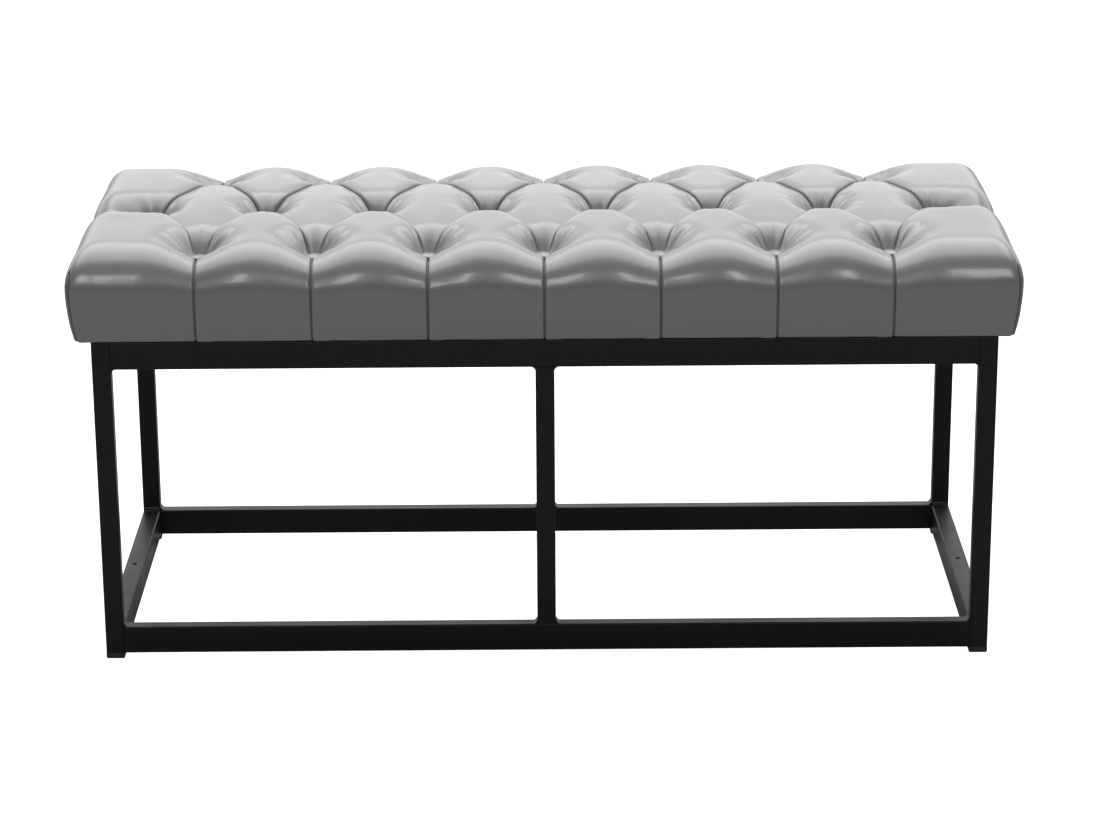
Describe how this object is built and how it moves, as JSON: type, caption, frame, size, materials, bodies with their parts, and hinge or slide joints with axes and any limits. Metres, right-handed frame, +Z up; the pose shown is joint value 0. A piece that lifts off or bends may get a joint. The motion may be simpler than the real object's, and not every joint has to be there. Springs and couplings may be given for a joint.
{
  "type": "upholstered bench",
  "caption": "Long low bench: a deep-buttoned grey leather cushion with diamond tufts on an open frame of black square-cut steel tube with plastic glides.",
  "frame": {"origin": "on the floor under the middle of the bench", "axes": "+Z up, +X along the length, +Y towards the back"},
  "size_m": [0.9994, 0.4, 0.46],
  "materials": {
    "frame_steel": "satin",
    "glide_plastic": "matte",
    "seat_leather": "satin",
    "board_wood": "matte",
    "seat_foam": "matte",
    "button_cord": "matte",
    "dust_cloth": "matte",
    "fastener_steel": "satin"
  },
  "bodies": {
    "root": {"leg_front_left": "frame_steel", "leg_front_right": "frame_steel", "leg_rear_left": "frame_steel", "leg_rear_right": "frame_steel", "upright_front_middle": "frame_steel", "upright_rear_middle": "frame_steel", "top_rail_front": "frame_steel", "top_rail_rear": "frame_steel", "bottom_rail_front": "frame_steel", "bottom_rail_rear": "frame_steel", "top_end_rail_left": "frame_steel", "top_end_rail_right": "frame_steel", "bottom_end_rail_left": "frame_steel", "bottom_end_rail_right": "frame_steel", "weld_beads": "frame_steel", "glide_front_left": "glide_plastic", "glide_front_right": "glide_plastic", "glide_rear_left": "glide_plastic", "glide_rear_right": "glide_plastic", "seat_board": "board_wood", "foam_block": "seat_foam", "seat_cover": "seat_leather", "covered_buttons": "seat_leather", "button_cords": "button_cord", "dust_cover": "dust_cloth", "seat_screws": "fastener_steel", "threaded_inserts": "fastener_steel"}
  },
  "joints": []
}
